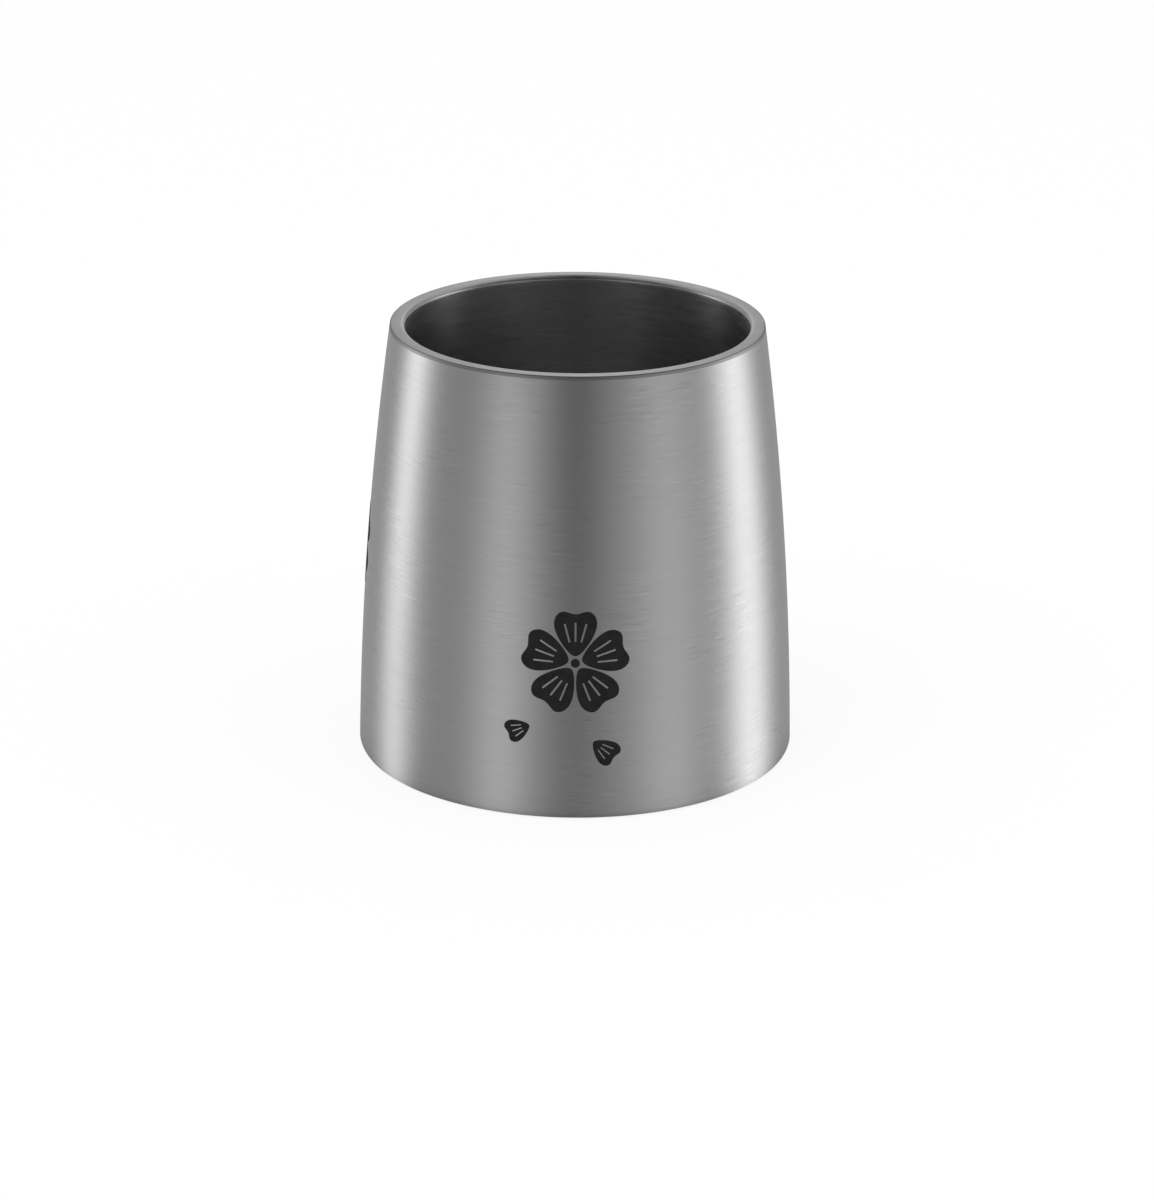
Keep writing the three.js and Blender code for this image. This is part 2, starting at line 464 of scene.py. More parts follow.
@dataclass(frozen=True)
class LaserBlack(Finish):
    """The matt black skin that a marking laser leaves on steel, in close raster lines."""

    name: str = "laser_black"
    color: Color = (0.0095, 0.0093, 0.0092)
    raster: float = 0.00009
    raster_depth: float = 0.000002
    raster_strength: float = 0.6
    cloud_scale: float = 900.0
    cloud_detail: float = 4.0
    tones: Point = (0.75, 1.3)
    roughness: Point = (0.55, 0.8)
    shine: float = 0.25

    def looks(self, wire: Wiring) -> Inputs:
        """Puts raster lines into the bump and a cloud into the tone."""
        place = wire.object_place()
        cloud = wire.noise(place, self.cloud_scale, self.cloud_detail)
        _, _, z = wire.split(place)
        lines = wire.math("SINE", z * (2 * math.pi / self.raster))
        return {
            "Base Color": wire.tinted(self.color, wire.remap(cloud, NOISE_RANGE, self.tones)),
            "Roughness": wire.remap(cloud, UNIT_RANGE, self.roughness),
            "Normal": wire.bump(lines, self.raster_depth, self.raster_strength),
            "Specular IOR Level": self.shine,
        }


@dataclass(frozen=True)
class SealingGlass(Finish):
    """Dark solder glass with a few small bubbles in its skin."""

    name: str = "sealing_glass"
    color: Color = (0.02, 0.032, 0.026)
    bubble: float = 0.0004
    bubble_depth: float = 0.00002
    bubble_strength: float = 0.5
    cloud_scale: float = 700.0
    cloud_detail: float = 3.0
    least_tone: float = 0.5
    roughness: float = 0.12

    def looks(self, wire: Wiring) -> Inputs:
        """Puts bubbles into the bump and a cloud into the colour."""
        place = wire.object_place()
        bubbles = wire.cells(place, self.bubble)
        cloud = wire.noise(place, self.cloud_scale, self.cloud_detail)
        return {
            "Base Color": wire.tinted(self.color, cloud + self.least_tone),
            "Roughness": self.roughness,
            "Normal": wire.bump(bubbles, self.bubble_depth, self.bubble_strength),
        }


@dataclass(frozen=True)
class SinteredMetal(Finish):
    """The grainy pressed powder of the getter."""

    name: str = "sintered_metal"
    color: Color = (0.11, 0.108, 0.1)
    grain: float = 0.00012
    grain_depth: float = 0.00004
    grain_strength: float = 0.8
    least_tone: float = 0.6
    metal: float = 0.7
    roughness: float = 0.75

    def looks(self, wire: Wiring) -> Inputs:
        """Puts grains into the colour and bump."""
        grains = wire.cells(wire.object_place(), self.grain)
        return {
            "Base Color": wire.tinted(self.color, grains + self.least_tone),
            "Roughness": self.roughness,
            "Normal": wire.bump(grains, self.grain_depth, self.grain_strength),
            "Metallic": self.metal,
        }


class ShapeTree:
    """A Geometry Nodes tree with named inputs, used to make plain meshes."""

    def __init__(self, name: str, sizes: dict[str, float]) -> None:
        """Starts a tree.

        Args:
            name: Name of the tree.
            sizes: Name of each input to the value that it has where a piece doesn't change it.
        """
        self.sizes = sizes
        self.tree = bpy.data.node_groups.new(name, "GeometryNodeTree")
        self.wire = Wiring(self.tree)
        face = self.tree.interface
        face.new_socket("Geometry", in_out="OUTPUT", socket_type="NodeSocketGeometry")
        kinds = {"Geometry": "NodeSocketGeometry", "Material": "NodeSocketMaterial"}
        for size, value in sizes.items():
            kinds[size] = "NodeSocketInt" if isinstance(value, int) else "NodeSocketFloat"
        self.ids = {n: face.new_socket(n, in_out="INPUT", socket_type=k).identifier for n, k in kinds.items()}
        inputs = self.wire.add("NodeGroupInput").outputs
        self.geometry, self.material = inputs["Geometry"], inputs["Material"]
        self.given = {size: Number(self.wire, inputs[size]) for size in sizes}

    def end(self, geometry: Socket, sharp: float = 35.0) -> None:
        """Shades the result, realizes it, gives it its material and hands it out.

        Args:
            geometry: The socket with the finished shape.
            sharp: Edges that bend by more than this angle, in degrees, stay sharp.
        """
        wire = self.wire
        smooth = wire.add("GeometryNodeSetShadeSmooth", {"Geometry": geometry})
        angle = Number(wire, wire.add("GeometryNodeInputMeshEdgeAngle").outputs["Unsigned Angle"])
        edges = {
            "Geometry": smooth.outputs[0],
            "Selection": wire.math("GREATER_THAN", angle, math.radians(sharp)),
            "Shade Smooth": False,
        }
        crisp = wire.add("GeometryNodeSetShadeSmooth", edges, domain="EDGE")
        finish = {"Geometry": wire.realize(crisp.outputs[0]), "Material": self.material}
        dressed = wire.add("GeometryNodeSetMaterial", finish)
        wire.add("NodeGroupOutput", {"Geometry": dressed.outputs[0]})

    def make(
        self, name: str, mesh: bpy.types.Mesh, material: bpy.types.Material, changes: dict[str, float]
    ) -> bpy.types.Object:
        """Runs the tree on a mesh.

        Args:
            name: Name of the new piece.
            mesh: What the tree starts from.
            material: Finish of the piece.
            changes: Inputs that differ for this piece.

        Returns:
            The piece, as a plain mesh at the origin.
        """
        piece = put(name, mesh)
        shape = piece.modifiers.new("Shape", "NODES")
        shape.node_group = self.tree
        for size, value in {**self.sizes, **changes, "Material": material}.items():
            shape[self.ids[size]] = value
        made = bpy.data.meshes.new_from_object(piece.evaluated_get(bpy.context.evaluated_depsgraph_get()))
        piece.modifiers.remove(shape)
        piece.data = made
        made.name = name
        return piece


def fit(piece: bpy.types.Object, slot: str, *nodes: str) -> None:
    """Fixes a finished piece to the frame.

    Args:
        piece: The piece.
        slot: Material slot of the record that its finish belongs to. Not used.
        nodes: CAD nodes that it stands for.
    """
    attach(piece, BODY)
    if nodes:
        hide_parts(*nodes)
    LOG.info("%s: %d faces", piece.name, len(piece.data.polygons))


@dataclass
class Lathe:
    """Turns outlines about the cup's axis, with radii measured from the bowed wall or from the axis."""

    rule: WallRule
    steps: int = 224
    seam: float = 0.0000008

    def __post_init__(self) -> None:
        """Builds the tree that all turned pieces share."""
        sizes = {**named_sizes(self.rule), **named_sizes(self), "Wall Share": Follows.WALL.value}
        self.shape = ShapeTree("turned_on_bowed_wall", sizes)
        wire, given, outline = self.shape.wire, self.shape.given, self.shape.geometry
        size = wire.add("GeometryNodeAttributeDomainSize", {"Geometry": outline})
        points = Number(wire, size.outputs["Point Count"])
        grid = wire.add("GeometryNodeMeshGrid", {"Vertices X": given["Steps"] + 1.0, "Vertices Y": points})
        index = wire.index()
        # The half keeps a rounding error from moving a point to the column before its own.
        column = wire.math("FLOOR", (index + 0.5) / points)
        sample = wire.add("GeometryNodeSampleIndex", data_type="FLOAT_VECTOR", domain="POINT")
        row = index - column * points
        wire.give(sample, {"Geometry": outline, "Value": wire.position(), "Index": row})
        x, _, z = wire.split(sample.outputs[0])
        wall = wire.bowed_radius(z, given) * given["Wall Share"]
        radius = wire.math("MAXIMUM", wall + x, 0.0)
        turn = column / given["Steps"] * (2 * math.pi)
        place = wire.combine(radius * wire.math("COSINE", turn), radius * wire.math("SINE", turn), z)
        self.shape.end(wire.merge(wire.move(grid.outputs["Mesh"], place), given["Seam"]))

    def turn(
        self, name: str, outline: list[Point], follows: Follows, finish: BrushedSteel, slot: str, node: str
    ) -> None:
        """Turns one closed outline into a piece and fixes it to the frame.

        Args:
            name: Name of the piece.
            outline: Distance and height of each point. Distances are from the wall, negative inwards, or from
                the axis. An outline that starts on the axis also ends on it.
            follows: What the distances are measured from.
            finish: Finish of the piece.
            slot: Material slot of the record that the finish belongs to.
            node: CAD node that the piece stands for.
        """
        ring = outline if self._area(outline) > 0 else outline[::-1]
        if ring[0][0] + follows.value * self.rule.radius(ring[0][1]) > 0:
            ring = [*ring, ring[0]]
        mesh = bpy.data.meshes.new(name + "_outline")
        mesh.from_pydata([(x, 0.0, z) for x, z in ring], [(i, i + 1) for i in range(len(ring) - 1)], [])
        fit(self.shape.make(name, mesh, finish.make(), {"Wall Share": follows.value}), slot, node)

    @staticmethod
    def _area(outline: list[Point]) -> float:
        """Gives twice the area inside an outline, negative where it runs clockwise."""
        ends = outline[1:] + outline[:1]
        return sum(a[0] * b[1] - b[0] * a[1] for a, b in zip(outline, ends))


@dataclass
class OuterShell:
    """The bowed outside wall, turned in at the bottom to make the foot."""

    lathe: Lathe
    sheet: float = 0.0005
    top: float = 0.0616
    foot_width: float = 0.0026
    foot_round: float = 0.001
    foot_steps: int = 8
    wall_steps: int = 48
    finish: BrushedSteel = BrushedSteel(
        "shell_brushed_steel", (0.56, 0.56, 0.56), 0.3, 0.8, Grooves.ROUND_WALL, tone=0.03, nick_tone=0.1
    )

    def outline(self) -> list[Point]:
        """Draws the section, with distances from the outside of the wall."""
        middle = (-self.foot_round, self.foot_round)
        heights = spread(self.foot_round, self.top, self.wall_steps)[1:]
        return [
            (-self.foot_width, self.sheet),
            (-self.foot_width, 0.0),
            *arc(middle, self.foot_round, -90, 0, self.foot_steps),
            *[(0.0, z) for z in heights],
            *[(-self.sheet, z) for z in reversed(heights)],
            *arc(middle, self.foot_round - self.sheet, 0, -90, self.foot_steps),
        ]

    def build(self) -> None:
        """Makes the shell."""
        self.lathe.turn("shell", self.outline(), Follows.WALL, self.finish, "shell_steel", "outer_shell")


@dataclass
class InnerLiner:
    """The inside of the cup, whose lip rolls outwards over the rim."""

    lathe: Lathe
    sheet: float = 0.0005
    floor: float = 0.0064
    corner: float = 0.006
    wall_stack: float = 0.0032
    lip_width: float = 0.0023
    lip_round: float = 0.0008
    weld_width: float = 0.00015
    corner_steps: int = 14
    wall_steps: int = 48
    lip_steps: int = 12
    under_steps: int = 3
    finish: BrushedSteel = BrushedSteel(
        "liner_brushed_steel",
        (0.6, 0.6, 0.6),
        0.32,
        0.95,
        Grooves.ROUND_WALL,
        tone=0.08,
        satin_height=0.0619,
        satin_share=0.55,
        nick_tone=0.12,
    )

    def stack(self, z: float) -> float:
        """Gives the distance from the outside of the shell to the inside of the liner at a height."""
        share = (z - self.floor) / (self.lathe.rule.height - self.floor)
        return self.wall_stack + (self.lip_width - self.wall_stack) * share

    def outline(self) -> list[Point]:
        """Draws the section, with distances from the outside of the wall."""
        rim = self.lathe.rule.height
        floor_top = self.floor + self.sheet
        bend_end = floor_top + self.corner
        lip = self.lip_round
        heights = spread(bend_end, rim - lip, self.wall_steps)
        middle = (-self.stack(bend_end) - self.corner, bend_end)
        # This far inwards lies past the axis, where the lathe stops it.
        hub = -2 * self.lathe.rule.base_radius
        under = lip - self.sheet
        crest = rim - self.sheet
        return [
            (hub, floor_top),
            *arc(middle, self.corner, -90, 0, self.corner_steps),
            *[(-self.stack(z), z) for z in heights[1:]],
            *arc((lip - self.lip_width, rim - lip), lip, 180, 90, self.lip_steps),
            (-self.weld_width, rim),
            (-self.weld_width, crest),
            *arc((self.sheet + under - self.lip_width, crest - under), under, 90, 180, self.under_steps),
            *[(self.sheet - self.stack(z), z) for z in reversed(heights[1:-1])],
            *arc(middle, self.corner + self.sheet, 0, -90, self.corner_steps),
            (hub, self.floor),
        ]

    def build(self) -> None:
        """Makes the liner."""
        self.lathe.turn("liner", self.outline(), Follows.WALL, self.finish, "liner_steel", "inner_liner")


@dataclass
class RimWeld:
    """The bead that joins the edge of the lip to the top of the shell, ground round. Its darker grey is
    partly a duller weld and partly painted shade of the dark line along the lip's outer rounding.
    """

    lathe: Lathe
    width: float = 0.00015
    depth: float = 0.0005
    edge: float = 0.00012
    edge_steps: int = 10
    # Darker grey than the shell: partly a dull ground weld, partly painted shade along the lip's outer
    # rounding.
    finish: BrushedSteel = BrushedSteel(
        "ground_weld_with_painted_shade", (0.33, 0.33, 0.33), 0.4, 0.4, Grooves.ROUND_WALL, line=0.00015
    )

    def build(self) -> None:
        """Makes the ring."""
        rim = self.lathe.rule.height
        low = rim - self.depth
        corner = arc((-self.edge, rim - self.edge), self.edge, 0, 90, self.edge_steps)
        outline = [(-self.width, low), (0.0, low), *corner, (-self.width, rim)]
        self.lathe.turn("lip_weld", outline, Follows.WALL, self.finish, "weld_steel", "rim_weld")


@dataclass
class Base:
    """What closes the cup from below: the pressed plate, its weld bead and the cover over the port."""

    lathe: Lathe
    sheet: float = 0.0006
    seam: float = 0.00005
    foot_inner: float = 0.0284
    plate_edge: float = 0.0277
    riser: float = 0.0262
    ledge: float = 0.00145
    middle_edge: float = 0.024
    middle: float = 0.00255
    dimple_radius: float = 0.0032
    dimple_depth: float = 0.001
    port_radius: float = 0.0009
    bend_share: float = 0.45
    bend_steps: int = 6
    bead_top: float = 0.0005
    bead_crown: float = 2.0
    bead_steps: int = 8
    cover_low: float = 0.001
    cover_high: float = 0.0014
    cover_edge: float = 0.0002
    edge_steps: int = 5
    plate_finish: BrushedSteel = BrushedSteel(
        "pressed_steel", (0.46, 0.46, 0.46), 0.4, 0.3, Grooves.ROUND_FACE
    )
    bead_finish: BrushedSteel = BrushedSteel(
        "weld_bead",
        (0.42, 0.41, 0.4),
        0.42,
        0.2,
        Grooves.ROUND_FACE,
        line=0.0004,
        stroke=0.0007,
        tone=0.22,
        depth=0.00002,
    )
    cover_finish: BrushedSteel = BrushedSteel(
        "spun_steel", (0.5, 0.5, 0.5), 0.3, 0.75, Grooves.ROUND_FACE, line=0.00028, stroke=0.012, tone=0.13
    )

    def step(self, inner: float, outer_low: float, rise: float) -> tuple[list[Point], list[Point]]:
        """Draws one step of the plate, seen from the axis outwards.

        Args:
            inner: Radius of the step's inner face.
            outer_low: Height of the underside outside the step.
            rise: How far the underside rises at the step.

        Returns:
            The points of the underside from outside to inside, and of the upper side likewise.
        """
        half = self.sheet / 2
        bend = self.bend_share * rise
        small, large = bend - half, bend + half
        foot = (inner + half + bend, outer_low + half + bend)
        head = (inner + half - bend, outer_low + rise + half - bend)
        count = self.bend_steps
        under = [*arc(foot, large, -90, -180, count), *arc(head, small, 0, 90, count)]
        over = [*arc(foot, small, -90, -180, count), *arc(head, large, 0, 90, count)]
        return under, over

    def plate_outline(self) -> list[Point]:
        """Draws the section of the plate, with distances from the axis."""
        steps = [
            self.step(self.riser, self.seam, self.ledge - self.seam),
            self.step(self.middle_edge, self.ledge, self.middle - self.ledge),
            self.step(self.dimple_radius, self.middle, self.dimple_depth),
        ]
        port = self.middle + self.dimple_depth
        return [
            (self.plate_edge, self.seam + self.sheet),
            (self.plate_edge, self.seam),
            *[point for under, _ in steps for point in under],
            (self.port_radius, port),
            (self.port_radius, port + self.sheet),
            *[point for _, over in reversed(steps) for point in reversed(over)],
        ]

    def bead_outline(self) -> list[Point]:
        """Draws the section of the weld bead, lowest along its middle."""
        half = (self.foot_inner - self.plate_edge) / 2
        middle = (self.plate_edge + self.foot_inner) / 2
        shares = spread(-1, 1, self.bead_steps)
        low = [(middle + half * t, self.seam * (1 + self.bead_crown * t * t)) for t in shares]
        return [*low, (self.foot_inner, self.bead_top), (self.plate_edge, self.bead_top)]

    def cover_outline(self) -> list[Point]:
        """Draws the section of the cover, with a softened lower edge."""
        bend = self.bend_share * (self.ledge - self.seam) - self.sheet / 2
        rim = self.riser - bend - self.seam
        soft = self.cover_edge
        return [
            (0.0, self.cover_low),
            *arc((rim - soft, self.cover_low + soft), soft, -90, 0, self.edge_steps),
            (rim, self.cover_high),
            (0.0, self.cover_high),
        ]

    def build(self) -> None:
        """Makes the plate, its bead and the cover."""
        turn, axis = self.lathe.turn, Follows.AXIS
        turn("base_pressing", self.plate_outline(), axis, self.plate_finish, "base_steel", "base_plate")
        turn("foot_weld", self.bead_outline(), axis, self.bead_finish, "weld_steel", "base_weld")
        turn("cover", self.cover_outline(), axis, self.cover_finish, "cover_steel", "base_cover")


@dataclass
class VacuumParts:
    """The pieces inside the vacuum space, which keep their CAD shapes."""

    glass: SealingGlass = SealingGlass()
    pill: SinteredMetal = SinteredMetal()
    holder: BrushedSteel = BrushedSteel("holder_steel", (0.47, 0.46, 0.44), 0.38, 0.2, Grooves.ROUND_FACE)

    def build(self) -> None:
        """Gives each carried-over node its finish."""
        finishes = {"port_seal": self.glass, "getter_pill": self.pill, "getter_holder": self.holder}
        for node, finish in finishes.items():
            mesh = frame["nodes"][node].data
            mesh.materials.clear()
            mesh.materials.append(finish.make())
            LOG.info("%s: finish %s", node, finish.name)


@dataclass(frozen=True)
class MarkPlace:
    """Where one mark lies on the wall, with its turns in radians."""

    name: str
    centre_height: float
    side_turn: float
    own_turn: float


@dataclass(frozen=True)
class LoosePetal:
    """A small petal that lies apart from its blossom, with its turn in degrees."""

    x: float
    y: float
    turn: float
    size: float


@dataclass
class BlossomMarks:
    """Blossoms with loose petals, marked in black on the wall."""

    rule: WallRule
    places: tuple[MarkPlace, ...] = (
        MarkPlace("front_blossom", 0.0201, 0.0, 0.0),
        MarkPlace("side_blossom", 0.0285, math.radians(-99), math.radians(-54)),
    )
    loose: tuple[LoosePetal, ...] = (
        LoosePetal(-0.0058, -0.0063, 205.0, 0.55),
        LoosePetal(0.0021, -0.0083, 320.0, 0.62),
    )
    petals: int = 5
    petal_centre: float = 0.0044
    petal_half_length: float = 0.0034
    petal_half_width: float = 0.0027
    petal_taper: float = 0.45
    petal_notch: float = 0.0009
    notch_power: float = 14.0
    petal_points: int = 56
    veins: int = 3
    vein_length: float = 0.0027
    vein_width: float = 0.00026
    vein_turn: float = math.radians(15)
    eye_radius: float = 0.00062
    eye_points: int = 24
    hub_radius: float = 0.0000001
    bloom_rise: float = 0.0026
    lift: float = -0.00001
    film: float = 0.00004
    film_seam: float = 0.0000005
    fineness: int = 2
    finish: LaserBlack = LaserBlack()

    def build(self) -> None:
        """Makes the marks and fixes them to the wall."""
        first = named_sizes(self.places[0])
        shape = ShapeTree("blossom_on_bowed_wall", {**named_sizes(self.rule), **named_sizes(self), **first})
        drawing = self._arrange(shape, self._petal(shape))
        shape.end(self._wrap(shape, drawing))
        black = self.finish.make()
        for place in self.places:
            mesh = bpy.data.meshes.new(place.name)
            fit(shape.make(place.name, mesh, black, named_sizes(place)), "mark_black")

    @staticmethod
    def _petal(shape: ShapeTree) -> Socket:
        """Draws one petal that points along X from the middle of the blossom.

        Args:
            shape: The marks' tree.

        Returns:
            The socket with the flat petal, its veins left open.
        """
        wire, given = shape.wire, shape.given
        x, y, _ = wire.split(wire.position())
        tip = wire.math("POWER", wire.math("MAXIMUM", x, 0.0), given["Notch Power"])
        length = x * given["Petal Half Length"] + given["Petal Centre"] - tip * given["Petal Notch"]
        width = y * given["Petal Half Width"] * (x * given["Petal Taper"] + 1.0)
        edge = wire.move(wire.circle(given["Petal Points"], 1.0), wire.combine(length, width, 0.0))
        slit_size = {"Width": given["Vein Length"], "Height": given["Vein Width"]}
        slit = wire.add("GeometryNodeCurvePrimitiveQuadrilateral", slit_size, mode="RECTANGLE")
        moved = wire.transform(slit.outputs[0], Translation=wire.combine(given["Petal Centre"], 0.0, 0.0))
        one_place = {"Count": given["Veins"], "Offset": (0.0, 0.0, 0.0)}
        spots = wire.add("GeometryNodeMeshLine", one_place, mode="OFFSET")
        turn = (wire.index() - (given["Veins"] - 1.0) / 2.0) * given["Vein Turn"]
        veins = wire.realize(wire.copies(spots.outputs[0], moved, turn))
        return wire.fill(wire.join(edge, veins))

    def _arrange(self, shape: ShapeTree, petal: Socket) -> Socket:
        """Sets petals round the middle, with loose ones below.

        Args:
            shape: The marks' tree.
            petal: The socket with one flat petal.

        Returns:
            The socket with the flat drawing.
        """
        wire, given = shape.wire, shape.given
        hub_size = {"Vertices": given["Petals"], "Radius": given["Hub Radius"]}
        hub = wire.add("GeometryNodeMeshCircle", hub_size)
        turn = wire.index() / given["Petals"] * (2 * math.pi) + math.pi / 2
        bloom = wire.copies(hub.outputs[0], petal, turn)
        eye = wire.fill(wire.circle(given["Eye Points"], given["Eye Radius"]))
        rise = wire.combine(0.0, given["Bloom Rise"], 0.0)
        parts = [wire.transform(wire.join(bloom, eye), Translation=rise)]
        for one in self.loose:
            loose = wire.transform(
                petal,
                Translation=(one.x, one.y, 0.0),
                Rotation=(0.0, 0.0, math.radians(one.turn)),
                Scale=(one.size, one.size, one.size),
            )
            parts.append(loose)
        whole = wire.realize(wire.join(*parts))
        return wire.transform(whole, Rotation=wire.combine(0.0, 0.0, given["Own Turn"]))

    @staticmethod
    def _wrap(shape: ShapeTree, drawing: Socket) -> Socket:
        """Lays a flat drawing on the bowed wall and gives it the thickness of a film.

        Args:
            shape: The marks' tree.
            drawing: The socket with the flat drawing.

        Returns:
            The socket with the closed film.
        """
        wire, given = shape.wire, shape.given
        fine = wire.add("GeometryNodeSubdivideMesh", {"Mesh": drawing, "Level": given["Fineness"]})
        x, y, _ = wire.split(wire.position())
        z = y + given["Centre Height"]
        wall = wire.bowed_radius(z, given)
        turn = x / wall + given["Side Turn"]
        radius = wall + given["Lift"]
        place = wire.combine(radius * wire.math("SINE", turn), radius * wire.math("COSINE", turn) * -1.0, z)
        laid = wire.move(fine.outputs[0], place)
        film = {"Mesh": laid, "Offset Scale": given["Film"], "Individual": False}
        raised = wire.add("GeometryNodeExtrudeMesh", film, mode="FACES")
        back = wire.add("GeometryNodeFlipFaces", {"Mesh": laid})
        return wire.merge(wire.join(raised.outputs[0], back.outputs[0]), given["Film Seam"])


@dataclass(frozen=True)
class SoftBox:
    """One soft light on the wall of the light tent. A light below zero is a dark card."""

    azimuth: float
    spread: float
    level: float
    gain: float = 0.0
    even_reach: float = 0.5

    def glow(self, azimuth: float, reach: float) -> float:
        """Gives how much of this light comes from a direction.

        Args:
            azimuth: Direction in degrees, 0 towards the camera and positive to the right of the picture.
            reach: Distance from the cup's axis, as a share of the tent's radius.

        Returns:
            The level of the light there, which grows with the distance by the light's gain.
        """
        off = (azimuth - self.azimuth + 180) % 360 - 180
        level = self.level * (1 + self.gain * (reach - self.even_reach))
        return level * math.exp(-0.5 * (off / self.spread) ** 2)


@dataclass(frozen=True)
class TentRow:
    """One ring of points of the light tent, with its shares of the tent's upper light."""

    radius: float
    height: float
    shade: float = 0.0
    upper_side: float = 0.0
    upper_back: float = 0.0
    lift: float = 1.0
    glint: float = 0.0
    gap: float = 0.0


@dataclass(frozen=True)
class SoftLamp:
    """A soft square lamp that faces the cup. Its power is in watts."""

    name: str
    place: Place
    side: float
    power: float
    aim: Place = (0.0, 0.0, 0.03)

    def build(self) -> None:
        """Hangs the lamp."""
        data = bpy.data.lights.new(self.name, "AREA")
        data.size = self.side
        data.energy = self.power
        lamp = put(self.name, data)
        lamp.location = self.place
        lamp.rotation_mode = "QUATERNION"
        lamp.rotation_quaternion = (Vector(self.aim) - Vector(self.place)).to_track_quat("-Z", "Y")
        lamp.visible_glossy = False


def ease(value: float, start: float, end: float) -> float:
    """Turns a value into a smooth share that is 0 at the start and 1 at the end."""
    share = min(max((value - start) / (end - start), 0.0), 1.0)
    return share * share * (3 - 2 * share)


@dataclass
class Studio:
    """A pale floor, soft lamps and a tent of cards that only reflections see."""

    tent_radius: float = 0.25
    tent_height: float = 0.3
    tent_columns: int = 240
    mat_height: float = 0.00002
    mat_steps: int = 24
    mat_crowding: int = 3
    ceiling_steps: int = 10
    ceiling_hole: float = 0.001
    wall_level: float = 0.36
    back_level: float = 0.05
    top_level: float = 0.52
    front_level: float = 0.06
    front_start: float = 0.25
    front_end: float = -0.15
    side_end: float = 130
    back_start: float = 155
    gap_depth: float = 0.65
    gap_width: float = 0.022
    wall_low: float = 0.0309
    wall_high: float = 0.0275
    halvings: int = 40
    foot_radius: float = 0.0303
    foot_shade: float = 0.38
    foot_reach: float = 0.0025
    floor_half: float = 6.0
    floor_color: tuple[float, float, float, float] = (0.94, 0.94, 0.94, 1.0)
    floor_roughness: float = 0.9
    floor_white: float = 0.87
    world_color: tuple[float, float, float, float] = (1.0, 1.0, 1.0, 1.0)
    world_levels: Point = (0.85, 1.0)
    boxes: tuple[SoftBox, ...] = (
        SoftBox(107, 13, 1.2, 0.05),
        SoftBox(-111.5, 9.5, 0.94, 0.45),
        SoftBox(52, 15, 0.3),
        SoftBox(-40, 12, 0.33),
        SoftBox(0, 11, -0.122, 0.7),
    )
    lamps: tuple[SoftLamp, ...] = (
        SoftLamp("key", (-0.7, -0.6, 1.3), 1.0, 6.0),
        SoftLamp("fill", (0.9, -0.4, 1.0), 1.2, 3.0),
    )

    def glow(self, azimuth: float, reach: float) -> float:
        """Gives the level of the tent's mat and wall in a direction.

        Args:
            azimuth: Direction in degrees, 0 towards the camera.
            reach: Distance from the cup's axis, as a share of the tent's radius.

        Returns:
            The light that comes from there.
        """
        behind = 0.5 - 0.5 * math.cos(math.radians(azimuth))
        plain = self.wall_level + self.back_level * behind**2
        return plain + sum(box.glow(azimuth, reach) for box in self.boxes)

    def overhead(self, x: float, y: float, row: TentRow) -> float:
        """Gives the level of the tent's upper part, bright behind the cup and dark on the camera's side.

        Args:
            x: Place to the right of the cup. Straight behind the cup lies a glint, and overhead a gap.
            y: Place along the line from the camera to the cup.
            row: The ring that the place lies on.

        Returns:
            The level there.
        """
        behind = ease(y, self.front_end, self.front_start)
        level = self.front_level + (self.top_level - self.front_level) * behind
        middle = math.exp(-0.5 * (x / self.gap_width) ** 2)
        return level * (row.lift + (row.glint * behind - row.gap * self.gap_depth) * middle)

    def rows(self) -> list[TentRow]:
        """Lists the rings of the tent: a mat that starts at the foot, the wall and the ceiling."""
        edge, foot = self.tent_radius, self.foot_radius
        mat = [foot + (edge - foot) * t**self.mat_crowding for t in spread(0, 1, self.mat_steps)]
        shades = [self.foot_shade * math.exp((foot - radius) / self.foot_reach) for radius in mat]
        ceiling = [edge * t for t in spread(1, self.ceiling_hole, self.ceiling_steps)]
        top = {"height": self.tent_height, "upper_side": 1.0, "upper_back": 1.0, "lift": 1.1, "gap": 1.0}
        return [
            *[TentRow(radius, self.mat_height, shade) for radius, shade in zip(mat, shades)],
            TentRow(edge, height=0.075),
            TentRow(edge, height=0.085, upper_back=0.9, lift=0.8, glint=0.3),
            TentRow(edge, height=0.11, upper_side=0.05, upper_back=1.0, lift=0.68, glint=0.45),
            TentRow(edge, height=0.135, upper_side=0.5, upper_back=1.0, lift=0.63, glint=0.78),
            TentRow(edge, height=0.18, upper_side=1.0, upper_back=1.0, lift=0.7, glint=0.4),
            *[TentRow(radius, **top) for radius in ceiling],
        ]

    def mirrored(self, radius: float, azimuth: float) -> float:
        """Finds where the cup's wall sends the light of a card.

        Args:
            radius: Distance of the card from the cup's axis.
            azimuth: Direction of the card from the axis, from 0 to 180 degrees.

        Returns:
            The direction in degrees, seen from the wall, in which a viewer before the cup meets that card.
        """
        low, high = 0.0, math.pi / 2
        share = (radius - self.wall_low) / (self.tent_radius - self.wall_low)
        wall = self.wall_low + (self.wall_high - self.wall_low) * share
        for _ in range(self.halvings):
            normal = (low + high) / 2
            sideways = wall * math.sin(normal)
            reach = math.sqrt(radius**2 - sideways**2) - wall * math.cos(normal)
            forward = wall * math.cos(normal) + reach * math.cos(2 * normal)
            if math.atan2(sideways + reach * math.sin(2 * normal), forward) < math.radians(azimuth):
                low = normal
            else:
                high = normal
        return math.degrees(low + high)

